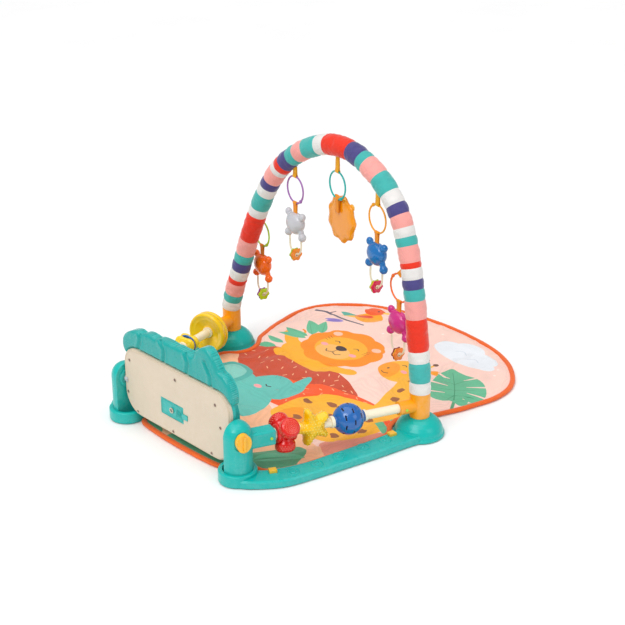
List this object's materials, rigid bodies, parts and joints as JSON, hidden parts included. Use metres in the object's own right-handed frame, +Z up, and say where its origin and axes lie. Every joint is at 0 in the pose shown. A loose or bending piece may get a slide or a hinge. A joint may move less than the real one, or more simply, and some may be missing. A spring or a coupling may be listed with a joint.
{
  "type": "activity play gym",
  "caption": "Baby play gym: padded hoop with hanging toys over a printed mat, side rails with spinning toys on bars, and a tilting kick piano between two posts.",
  "frame": {"origin": "on the floor, at the centre of the footprint, under the crown of the hoop", "axes": "+Z up, +Y from the piano towards the free end of the mat, +X to the side of the roller, star and ball"},
  "size_m": [0.548, 0.6812, 0.4497],
  "materials": {
    "amber_plastic": "moulded, satin",
    "bar_cream": "moulded, glossy",
    "blue_plastic": "moulded, glossy",
    "board": "solder mask",
    "cell_wrap": "film wrapped",
    "cream_plastic": "moulded, fine spark texture",
    "grey_plastic": "moulded, glossy",
    "lime_plastic": "moulded, glossy",
    "mat_fabric": "printed woven polyester, padded",
    "orange_plastic": "moulded, glossy",
    "pad_rubber": "matte",
    "pink_plastic": "moulded, glossy",
    "purple_plastic": "moulded, glossy",
    "red_plastic": "moulded, glossy",
    "ribbon_fabric": "woven ribbon",
    "sleeve_fabric": "striped brushed polyester",
    "steel": "plated",
    "teal_plastic": "moulded, satin gloss",
    "yellow_plastic": "moulded, glossy"
  },
  "bodies": {
    "frame": {"base_rail_right": "teal_plastic", "base_rail_left": "teal_plastic", "rail_foot_pads": "pad_rubber", "post_right": "teal_plastic", "post_left": "teal_plastic", "side_bar_right": "bar_cream", "side_bar_left": "bar_cream", "arch_collar_right": "amber_plastic", "arch_collar_left": "amber_plastic", "arch_tube": "grey_plastic", "arch_sleeve": "sleeve_fabric", "sleeve_ribbons": "ribbon_fabric", "play_mat": "mat_fabric", "mat_tab_clips": "yellow_plastic", "bar_spacers": "bar_cream"},
    "piano": {"piano_back_cover": "cream_plastic", "piano_front_shell": "teal_plastic", "cover_screws": "steel", "pivot_axles": "grey_plastic", "speaker": "pad_rubber", "circuit_board": "board", "battery_cells": "cell_wrap"},
    "battery_door": {"battery_door": "teal_plastic", "battery_screw": "steel"},
    "slider": {"volume_slider": "orange_plastic"},
    "lock_right": {"lock_knob_right": "yellow_plastic"},
    "socket_pin_right": {"socket_pin_right": "lime_plastic"},
    "socket_pin_left": {"socket_pin_left": "lime_plastic"},
    "collar_pin_right": {"collar_pin_right": "lime_plastic"},
    "collar_pin_left": {"collar_pin_left": "lime_plastic"},
    "roller": {"red_roller": "red_plastic"},
    "star": {"star_spinner": "yellow_plastic"},
    "ball": {"blue_ball": "blue_plastic"},
    "drum": {"yellow_drum": "yellow_plastic"},
    "flower": {"flower_bead": "yellow_plastic"},
    "disc": {"blue_disc": "blue_plastic"},
    "key_1": {"piano_key_1": "red_plastic"},
    "key_2": {"piano_key_2": "orange_plastic"},
    "key_3": {"piano_key_3": "yellow_plastic"},
    "key_4": {"piano_key_4": "lime_plastic"},
    "key_5": {"piano_key_5": "blue_plastic"},
    "lime_ring": {"lime_ring": "lime_plastic"},
    "orange_toy": {"orange_bear": "orange_plastic", "orange_hoop": "bar_cream"},
    "orange_bead": {"orange_bead": "lime_plastic"},
    "purple_ring": {"purple_ring": "purple_plastic"},
    "grey_toy": {"grey_bear": "grey_plastic", "grey_hoop": "bar_cream"},
    "grey_bead": {"grey_bead": "orange_plastic"},
    "teal_ring": {"teal_ring": "teal_plastic"},
    "lion_toy": {"lion_toy": "amber_plastic"},
    "yellow_ring": {"yellow_ring": "amber_plastic"},
    "blue_toy": {"blue_bear": "blue_plastic", "blue_hoop": "bar_cream"},
    "blue_bead": {"blue_bead": "red_plastic"},
    "orange_ring": {"orange_ring": "orange_plastic"},
    "pink_toy": {"pink_bear": "pink_plastic", "pink_hoop": "bar_cream"},
    "pink_bead": {"pink_bead": "orange_plastic"}
  },
  "joints": [
    {"name": "activity_piano_tilt", "type": "hinge", "parent": "frame", "child": "piano", "pos_m": [0, -0.309, 0.0748], "axis": [1, 0, 0], "range_deg": [-25, 25]},
    {"name": "key_1_press", "type": "hinge", "parent": "piano", "child": "key_1", "pos_m": [-0.0936, -0.289, 0.0965], "axis": [-1, 0, 0], "range_deg": [0, 4], "stiffness_Nm_per_rad": 0.4},
    {"name": "key_2_press", "type": "hinge", "parent": "piano", "child": "key_2", "pos_m": [-0.0468, -0.289, 0.0965], "axis": [-1, 0, 0], "range_deg": [0, 4], "stiffness_Nm_per_rad": 0.4},
    {"name": "key_3_press", "type": "hinge", "parent": "piano", "child": "key_3", "pos_m": [0, -0.289, 0.0965], "axis": [-1, 0, 0], "range_deg": [0, 4], "stiffness_Nm_per_rad": 0.4},
    {"name": "key_4_press", "type": "hinge", "parent": "piano", "child": "key_4", "pos_m": [0.0468, -0.289, 0.0965], "axis": [-1, 0, 0], "range_deg": [0, 4], "stiffness_Nm_per_rad": 0.4},
    {"name": "key_5_press", "type": "hinge", "parent": "piano", "child": "key_5", "pos_m": [0.0936, -0.289, 0.0965], "axis": [-1, 0, 0], "range_deg": [0, 4], "stiffness_Nm_per_rad": 0.4},
    {"name": "battery_door_open", "type": "hinge", "parent": "piano", "child": "battery_door", "pos_m": [-0.0375, -0.3154, 0.0635], "axis": [0, 0, -1], "range_deg": [0, 60]},
    {"name": "volume_slide", "type": "slide", "parent": "piano", "child": "slider", "axis": [1, 0, 0], "range_m": [0, 0.015]},
    {"name": "lock_right_turn", "type": "hinge", "parent": "frame", "child": "lock_right", "pos_m": [0.1394, -0.309, 0.0748], "axis": [0.9571, -0.2896, 0], "range_deg": [0, 90]},
    {"name": "pin_socket_right_press", "type": "slide", "parent": "frame", "child": "socket_pin_right", "axis": [0.9571, -0.2896, 0], "range_m": [-0.0012, 0], "stiffness_N_per_m": 900},
    {"name": "pin_collar_right_press", "type": "slide", "parent": "frame", "child": "collar_pin_right", "axis": [0.9571, -0.2896, 0], "range_m": [-0.001, 0], "stiffness_N_per_m": 900},
    {"name": "pin_socket_left_press", "type": "slide", "parent": "frame", "child": "socket_pin_left", "axis": [-0.9571, -0.2896, 0], "range_m": [-0.0012, 0], "stiffness_N_per_m": 900},
    {"name": "pin_collar_left_press", "type": "slide", "parent": "frame", "child": "collar_pin_left", "axis": [-0.9571, -0.2896, 0], "range_m": [-0.001, 0], "stiffness_N_per_m": 900},
    {"name": "bar_roller_spin", "type": "hinge", "parent": "frame", "child": "roller", "pos_m": [0.16242, -0.23291, 0.06231], "axis": [0.2893, 0.9563, -0.0426], "continuous": true},
    {"name": "bar_star_spin", "type": "hinge", "parent": "frame", "child": "star", "pos_m": [0.17606, -0.18782, 0.0603], "axis": [0.2893, 0.9563, -0.0426], "continuous": true},
    {"name": "bar_ball_spin", "type": "hinge", "parent": "frame", "child": "ball", "pos_m": [0.19457, -0.12666, 0.05758], "axis": [0.2893, 0.9563, -0.0426], "continuous": true},
    {"name": "bar_drum_spin", "type": "hinge", "parent": "frame", "child": "drum", "pos_m": [-0.21035, -0.0745, 0.05526], "axis": [-0.2893, 0.9563, -0.0426], "continuous": true},
    {"name": "bar_flower_spin", "type": "hinge", "parent": "frame", "child": "flower", "pos_m": [-0.19037, -0.14054, 0.0582], "axis": [-0.2893, 0.9563, -0.0426], "continuous": true},
    {"name": "bar_disc_spin", "type": "hinge", "parent": "frame", "child": "disc", "pos_m": [-0.19037, -0.14054, 0.0582], "axis": [-0.2893, 0.9563, -0.0426], "continuous": true},
    {"name": "hang_orange_ring", "type": "hinge", "parent": "frame", "child": "lime_ring", "pos_m": [-0.188, 0.037, 0.2445], "axis": [0.9848, -0.1736, 0], "range_deg": [0, 35]},
    {"name": "hang_orange_toy", "type": "hinge", "parent": "lime_ring", "child": "orange_toy", "pos_m": [-0.188, 0.037, 0.1975], "axis": [0.9848, -0.1736, 0], "range_deg": [-5, 40]},
    {"name": "hoop_orange_bead_spin", "type": "hinge", "parent": "orange_toy", "child": "orange_bead", "pos_m": [-0.188, 0.037, 0.104], "axis": [0.9848, -0.1736, 0], "continuous": true},
    {"name": "hang_grey_ring", "type": "hinge", "parent": "frame", "child": "purple_ring", "pos_m": [-0.081, 0.019, 0.357], "axis": [0.9877, -0.1564, 0], "range_deg": [-35, 35]},
    {"name": "hang_grey_toy", "type": "hinge", "parent": "purple_ring", "child": "grey_toy", "pos_m": [-0.081, 0.019, 0.31], "axis": [0.9877, -0.1564, 0], "range_deg": [-45, 45]},
    {"name": "hoop_grey_bead_spin", "type": "hinge", "parent": "grey_toy", "child": "grey_bead", "pos_m": [-0.081, 0.019, 0.2165], "axis": [0.9877, -0.1564, 0], "continuous": true},
    {"name": "hang_lion_ring", "type": "hinge", "parent": "frame", "child": "teal_ring", "pos_m": [0.018, 0.021, 0.3885], "axis": [0.9781, -0.2079, 0], "range_deg": [-35, 35]},
    {"name": "hang_lion_toy", "type": "hinge", "parent": "teal_ring", "child": "lion_toy", "pos_m": [0.018, 0.021, 0.3415], "axis": [0.9781, -0.2079, 0], "range_deg": [-45, 22]},
    {"name": "hang_blue_ring", "type": "hinge", "parent": "frame", "child": "yellow_ring", "pos_m": [0.111, 0.019, 0.3555], "axis": [0.9781, -0.2079, 0], "range_deg": [-35, 35]},
    {"name": "hang_blue_toy", "type": "hinge", "parent": "yellow_ring", "child": "blue_toy", "pos_m": [0.111, 0.019, 0.3085], "axis": [0.9781, -0.2079, 0], "range_deg": [-45, 45]},
    {"name": "hoop_blue_bead_spin", "type": "hinge", "parent": "blue_toy", "child": "blue_bead", "pos_m": [0.111, 0.019, 0.215], "axis": [0.9781, -0.2079, 0], "continuous": true},
    {"name": "hang_pink_ring", "type": "hinge", "parent": "frame", "child": "orange_ring", "pos_m": [0.162, 0.02, 0.251], "axis": [0.9848, -0.1736, 0], "range_deg": [-35, 35]},
    {"name": "hang_pink_toy", "type": "hinge", "parent": "orange_ring", "child": "pink_toy", "pos_m": [0.162, 0.02, 0.204], "axis": [0.9848, -0.1736, 0], "range_deg": [-45, 45]},
    {"name": "hoop_pink_bead_spin", "type": "hinge", "parent": "pink_toy", "child": "pink_bead", "pos_m": [0.162, 0.02, 0.1105], "axis": [0.9848, -0.1736, 0], "continuous": true}
  ]
}
